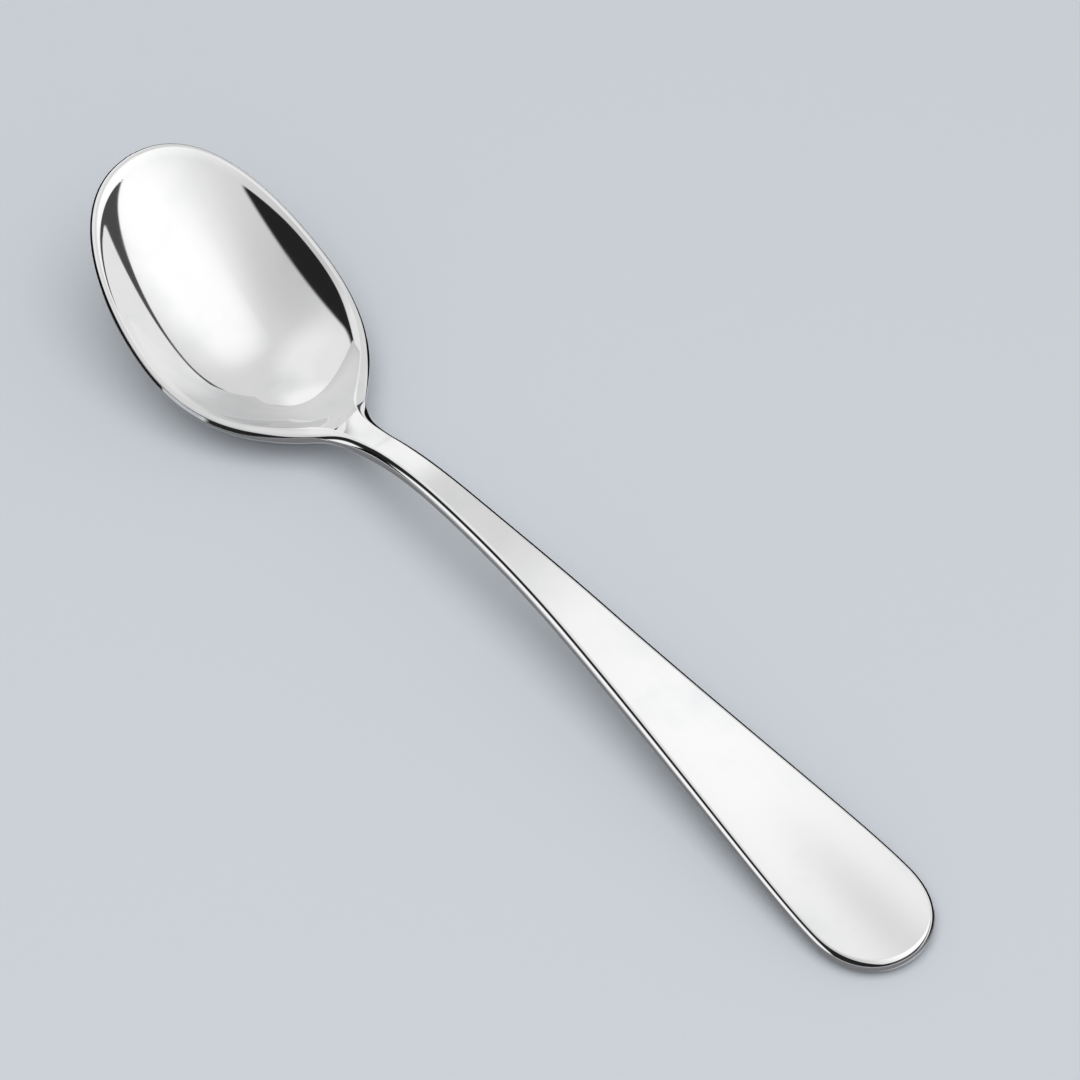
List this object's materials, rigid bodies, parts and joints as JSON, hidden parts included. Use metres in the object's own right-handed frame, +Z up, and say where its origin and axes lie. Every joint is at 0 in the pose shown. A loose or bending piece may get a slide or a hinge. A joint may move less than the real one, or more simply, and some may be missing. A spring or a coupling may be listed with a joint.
{
  "type": "teaspoon",
  "caption": "Plain polished steel teaspoon with a dished oval bowl, a slim arched stem and a straight handle that widens to a rounded end.",
  "frame": {"origin": "on the table under the middle of the spoon's length, in its plane of symmetry", "axes": "+X from the bowl's tip to the end of the handle, +Y across the spoon, +Z up from the table"},
  "size_m": [0.14, 0.0284, 0.0205],
  "materials": {
    "polished_steel": "mirror-polished stainless steel, solid metal without plating"
  },
  "bodies": {
    "root": {"bowl": "polished_steel", "stem": "polished_steel", "handle": "polished_steel"}
  },
  "joints": []
}
